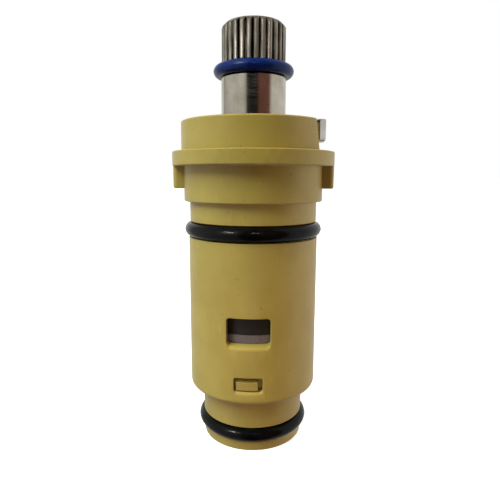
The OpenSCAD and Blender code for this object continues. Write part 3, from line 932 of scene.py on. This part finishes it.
def add_threaded_hole(shape, columns, rim, z_top):
    """Tapped hole: a helical thread between a countersunk mouth and a drilled point."""
    per_column = len(columns) // HOLE_COLUMNS
    turns = [columns[i * per_column][0] for i in range(HOLE_COLUMNS)]
    mouth = THREAD_R - HOLE_R
    top = z_top - mouth
    bottom = z_top - HOLE_DEPTH
    outer = shape.add([on_circle(THREAD_R, angle, z_top) for angle in turns])
    for i in range(HOLE_COLUMNS):
        j = (i + 1) % HOLE_COLUMNS
        rim_part = [rim[(i * per_column + step) % len(rim)] for step in range(per_column + 1)]
        shape.faces.append(tuple(rim_part + [outer[j], outer[i]]))
    inner = shape.add([on_circle(HOLE_R, angle, top) for angle in turns])
    shape.bridge(outer, inner)
    steps = len(THREAD_WAVE)
    rise = THREAD_PITCH / steps
    rows = []
    for step in range(int((top - bottom) / rise) + 2 * steps):
        row = []
        for i, angle in enumerate(turns + turns[:1]):
            z = top - rise * (step - steps) - THREAD_PITCH * i / HOLE_COLUMNS
            is_threaded = bottom < z < top
            depth = mouth * THREAD_FILL * THREAD_WAVE[step % steps] if is_threaded else 0
            row.append(on_circle(HOLE_R + depth, angle, min(max(z, bottom), top)))
        rows.append(shape.add(row))
    shape.bridge_all(rows, closed=False)
    floor = shape.add([on_circle(HOLE_R, angle, bottom) for angle in turns])
    tip = shape.add([Vector((0, 0, bottom - HOLE_R * math.tan(DRILL_SLOPE)))])[0]
    for i in range(HOLE_COLUMNS):
        shape.faces.append((floor[i], floor[(i + 1) % HOLE_COLUMNS], tip))


def add_blade(shape):
    """Drive blade under the stem's foot."""
    turn = Matrix.Rotation(REST_TURN, 3, "Z")
    x = BLADE_W / 2
    y = BLADE_L / 2
    outline = rounded([(-x, -y, FINE_EDGE), (x, -y, FINE_EDGE), (x, y, FINE_EDGE), (-x, y, FINE_EDGE)])
    levels = (Z_STEM - BLADE_H, Z_STEM + SINK)
    shape.sweep([[turn @ Vector((*point, z)) for point in outline] for z in levels])


def make_stem():
    z_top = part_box("stem")[1][2] / MM
    shape = Shape()
    columns = stem_columns()
    shoulder = add_turned_stem(shape, columns)
    rim = add_spline(shape, columns, shoulder, z_top)
    add_threaded_hole(shape, columns, rim, z_top)
    add_blade(shape)
    make_piece("splined_stem", shape, "stem", STEM_SHARP)


def arc(radius, first, last, steps):
    """Plain points on a circle, as corners for rounded()."""
    angles = [first + (last - first) * step / steps for step in range(steps + 1)]
    return [(radius * math.cos(angle), radius * math.sin(angle), 0) for angle in angles]


def inset_outline(points, amount):
    """Closed outline, drawn anticlockwise, moved inwards by an amount."""
    moved = []
    for before, here, after in zip(points[-1:] + points[:-1], points, points[1:] + points[:1]):
        ways = [(here - before).normalized(), (after - here).normalized()]
        inwards = sum((Vector((-way.y, way.x)) for way in ways), Vector((0, 0)))
        moved.append(here + inwards * amount / max(MITRE_LIMIT, 1 + ways[0].dot(ways[1])))
    return moved


def add_fork(shape, turn):
    """Flat fork that slides over the stem's flats, with the arm that carries the tab."""
    arm_turn = math.asin(ARM_HALF_W / FORK_R)
    side_turn = math.asin(FORK_HALF_W / FORK_R)
    bore_turn = math.asin(FORK_SLOT_Y / FORK_BORE_R)
    outline = rounded([
        (ARM_END + ARM_LAP, -ARM_HALF_W, 0),
        (ARM_END + ARM_LAP, ARM_HALF_W, 0),
        *arc(FORK_R, arm_turn, side_turn, 2 * ARC_STEPS),
        (-FORK_TAIL, FORK_HALF_W, FORK_CORNER),
        (-FORK_TAIL, FORK_SLOT_Y, FORK_CORNER),
        *arc(FORK_BORE_R, bore_turn, -bore_turn, 6 * ARC_STEPS),
        (-FORK_TAIL, -FORK_SLOT_Y, FORK_CORNER),
        (-FORK_TAIL, -FORK_HALF_W, FORK_CORNER),
        *arc(FORK_R, -side_turn, -arm_turn, 2 * ARC_STEPS)])
    start, finish = end_steps(SHEET_T, SHEET_EDGE)
    outlines = []
    for place, inset in start + finish:
        row = inset_outline(outline, inset)
        outlines.append([turn @ Vector((x, y, Z_CLIP + place)) for x, y in row])
    shape.sweep(outlines)


def add_tab(shape, turn):
    """Bent-up tab that follows the collar's outside, with bevelled ends and a root that narrows inwards."""
    start, finish = end_steps(2 * TAB_HALF_W, SHEET_EDGE)
    straight = 2 * (TAB_HALF_W - SHEET_EDGE)
    middle = [(SHEET_EDGE + straight * step / TAB_STEPS, 0.0) for step in range(1, TAB_STEPS)]
    outlines = []
    for place, inset in start + middle + finish:
        y = place - TAB_HALF_W
        past_corner = max(0.0, abs(y) - TAB_HALF_W + TAB_CORNER)
        past_bevel = max(0.0, abs(y) - TAB_HALF_W + TAB_BEVEL_Y)
        top = TAB_H - TAB_CORNER + math.sqrt(TAB_CORNER ** 2 - past_corner ** 2) - inset
        outer = COLLAR_R - TAB_BEVEL_X * past_bevel / TAB_BEVEL_Y - inset
        inner = COLLAR_R - SHEET_T + inset
        profile = rounded([
            (ARM_END, inset, 0),
            (outer, inset, BEND_OUTSIDE),
            (outer, top, SHEET_EDGE),
            (inner, top, SHEET_EDGE),
            (inner, SHEET_T - inset, BEND_INSIDE),
            (ARM_END, SHEET_T - inset, 0)])
        outline = []
        for radius, z in profile:
            is_upright = z > SHEET_T / 2 and radius > COLLAR_R - SHEET_T - SHEET_EDGE
            side = y if is_upright else y * radius / COLLAR_R
            outline.append(turn @ Vector((math.sqrt(radius ** 2 - side ** 2), side, Z_CLIP + z)))
        outlines.append(outline)
    shape.sweep(outlines)


def make_clip():
    shape = Shape()
    turn = Matrix.Rotation(CLIP_ANGLE, 3, "Z")
    add_fork(shape, turn)
    add_tab(shape, turn)
    make_piece("sheet_clip", shape, "stop_clip", CLIP_SHARP)


def make_rubber_ring(name, node):
    """Rubber ring of round section, with the mould's fine flash line round its inside and outside."""
    low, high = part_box(node)
    section_r = (high[2] - low[2]) / MM / 2
    middle_r = high[0] / MM - section_r
    z = (high[2] + low[2]) / 2 / MM
    turns = [2 * math.pi * step / RING_STEPS for step in range(RING_STEPS)]
    shape = Shape()
    rows = []
    for step in range(SECTION_STEPS):
        angle = 2 * math.pi * step / SECTION_STEPS
        is_flash = step % (SECTION_STEPS // 2) == 0
        reach = section_r if is_flash else section_r - FLASH
        ring_r = middle_r + reach * math.cos(angle)
        ring_z = z + section_r * math.sin(angle)
        rows.append(shape.add([on_circle(ring_r, turn, ring_z) for turn in turns]))
    shape.bridge_all(rows + rows[:1])
    make_piece(name, shape, node, RING_SHARP)


make_body()
make_stem()
make_clip()
for ring, ring_node in RINGS.items():
    make_rubber_ring(ring, ring_node)


def make_floor():
    """Wide pale floor that the cartridge stands on."""
    mesh = bpy.data.meshes.new("floor")
    corners = [(x * FLOOR_HALF, y * FLOOR_HALF, 0) for x, y in ((-1, -1), (1, -1), (1, 1), (-1, 1))]
    mesh.from_pydata(corners, [], [(0, 1, 2, 3)])
    floor = bpy.data.objects.new("floor", mesh)
    bpy.context.scene.collection.objects.link(floor)
    material, nodes, shader = new_material("floor_paper")
    nodes.set(shader, "Base Color", grey(FLOOR_TONE))
    nodes.set(shader, "Roughness", FLOOR_ROUGHNESS)
    nodes.set(shader, "Emission Color", grey(1))
    nodes.set(shader, "Emission Strength", FLOOR_GLOW)
    mesh.materials.append(material)
    floor.visible_diffuse = False
    floor.visible_glossy = False


# Studio that reflections show, with a dark and a brown strip: by azimuth in degrees, where 0 is the
# -Y side and positive is towards +X, and then as a factor from straight down to straight up
DARK_STRIP = srgb(14, 14, 14)
BROWN_STRIP = srgb(126, 84, 76)
STUDIO_AROUND = [
    (-180, grey(0.85)), (-130, grey(0.95)), (-121, grey(0.4)), (-112, grey(0.7)), (-80, grey(0.82)),
    (-45, grey(0.64)), (-24, grey(0.56)), (-19, DARK_STRIP), (15, DARK_STRIP), (25, BROWN_STRIP),
    (62, BROWN_STRIP), (68, grey(0.85)), (125, grey(0.92)), (180, grey(0.85))]
STUDIO_UPWARDS = [(0.0, grey(0.5)), (0.5, grey(0.95)), (1.0, grey(0.6))]


def make_world():
    """White backdrop for the camera, and the studio for reflections and light."""
    world = bpy.data.worlds.new("studio")
    bpy.context.scene.world = world
    world.use_nodes = True
    nodes = Nodes(world.node_tree)
    direction = nodes.add("ShaderNodeTexCoord").outputs["Generated"]
    parts = nodes.add("ShaderNodeSeparateXYZ", Vector=direction)
    forwards = nodes.math("MULTIPLY", parts.outputs["Y"], -1.0)
    azimuth = nodes.math("ARCTAN2", parts.outputs["X"], forwards)
    turn = nodes.math("ADD", nodes.math("DIVIDE", azimuth, 2 * math.pi), 0.5)
    around = nodes.ramp(turn, [(degrees / 360 + 0.5, colour) for degrees, colour in STUDIO_AROUND])
    rise = nodes.math("ADD", nodes.math("MULTIPLY", parts.outputs["Z"], 0.5), 0.5)
    studio = nodes.mix(1.0, around, nodes.ramp(rise, STUDIO_UPWARDS))
    studio.node.blend_type = "MULTIPLY"
    path = nodes.add("ShaderNodeLightPath")
    lit = nodes.add("ShaderNodeBackground", Color=studio, Strength=1.0)
    backdrop = nodes.add("ShaderNodeBackground", Color=grey(1), Strength=1.0)
    seen = nodes.add("ShaderNodeMixShader", Fac=path.outputs["Is Camera Ray"])
    nodes.set(seen, 1, lit.outputs[0])
    nodes.set(seen, 2, backdrop.outputs[0])
    output = nodes.add("ShaderNodeOutputWorld")
    nodes.set(output, "Surface", seen.outputs[0])


def add_light(name, azimuth, elevation, distance, size, power, colour=WHITE_LIGHT, target_z=LIGHT_TARGET_Z):
    """Square soft light that looks at the cartridge. Azimuth 0 is the -Y side, positive towards +X."""
    data = bpy.data.lights.new(name, "AREA")
    data.shape = "SQUARE"
    data.size = size
    data.energy = power
    data.color = colour
    light = bpy.data.objects.new(name, data)
    turn = math.radians(azimuth)
    rise = math.radians(elevation)
    away = Vector((math.sin(turn) * math.cos(rise), -math.cos(turn) * math.cos(rise), math.sin(rise)))
    light.location = away * distance + Vector((0, 0, target_z * MM))
    light.rotation_mode = "QUATERNION"
    light.rotation_quaternion = away.to_track_quat("Z", "Y")
    light.visible_camera = False
    bpy.context.scene.collection.objects.link(light)
    return light


def make_soft_lights():
    """Lights for the matt surfaces, which no reflection shows."""
    key = add_light(
        "key", azimuth=-48, elevation=50, distance=0.6, size=0.4, power=4.95, colour=(0.81, 1.0, 0.88))
    right_rim = add_light(
        "right_rim", azimuth=105, elevation=0, distance=0.2, size=0.15, power=0.23,
        colour=(1.0, 0.98, 0.57), target_z=12)
    top = add_light(
        "top", azimuth=0, elevation=78, distance=0.6, size=0.3, power=1.0, colour=(1.0, 0.7, 0.7))
    bounce = add_light(
        "bounce", azimuth=0, elevation=-4, distance=0.09, size=0.05, power=0.0034,
        colour=(1.0, 0.72, 0.55), target_z=10)
    bounce.data.spread = math.radians(55)
    for light in (key, right_rim, top, bounce):
        light.visible_glossy = False


def make_glints():
    """Two small lights that only the rubber rings and the stem show, as shines."""
    shiny = bpy.data.collections.new("shiny_pieces")
    for name in (*RINGS, "splined_stem"):
        shiny.objects.link(bpy.data.objects[name])
    left = add_light("left_glint", azimuth=-39, elevation=30, distance=0.5, size=0.1, power=1.2)
    right = add_light("right_glint", azimuth=7, elevation=30, distance=0.5, size=0.035, power=0.18)
    for light in (left, right):
        light.visible_diffuse = False
        light.light_linking.receiver_collection = shiny
        light.data.cycles.max_bounces = 0
        light.data.cycles.use_multiple_importance_sampling = False


make_floor()
make_world()
make_soft_lights()
make_glints()
bpy.context.scene.view_settings.view_transform = "Standard"
